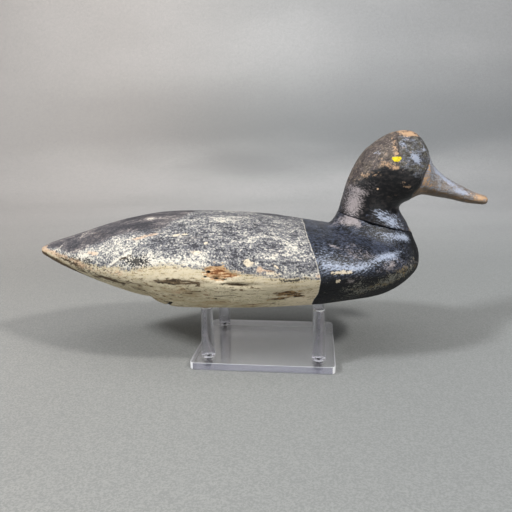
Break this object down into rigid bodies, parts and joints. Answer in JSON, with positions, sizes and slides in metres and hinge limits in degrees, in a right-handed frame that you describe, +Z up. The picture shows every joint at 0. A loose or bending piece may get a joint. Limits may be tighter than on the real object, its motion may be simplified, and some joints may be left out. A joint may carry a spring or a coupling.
{
  "type": "scaup decoy",
  "caption": "Carved and painted wooden drake scaup hunting decoy, worn with age, resting on a clear acrylic display stand with pegs.",
  "frame": {"origin": "centre of the stand plate's underside, where the part stands on a surface", "axes": "+X along the decoy towards the bill, +Y to the decoy's left side, +Z up; the stand is turned by about 5 degrees under the decoy, as in the picture"},
  "size_m": [0.3252, 0.1212, 0.1614],
  "materials": {
    "body_paint": "worn oil paint on bare wood: speckled grey back, cream belly, black breast",
    "head_paint": "worn black and slate oil paint with bare wood showing",
    "clear_acrylic": "clear polished acrylic",
    "screw_steel": "blackened steel"
  },
  "bodies": {
    "root": {"decoy_body": "body_paint", "decoy_head": "head_paint", "stand_plate": "clear_acrylic", "stand_peg_front_left": "clear_acrylic", "stand_peg_front_right": "clear_acrylic", "stand_peg_back_left": "clear_acrylic", "stand_peg_back_right": "clear_acrylic", "stand_screw_front_left": "screw_steel", "stand_screw_front_right": "screw_steel", "stand_screw_back_left": "screw_steel", "stand_screw_back_right": "screw_steel"}
  },
  "joints": []
}
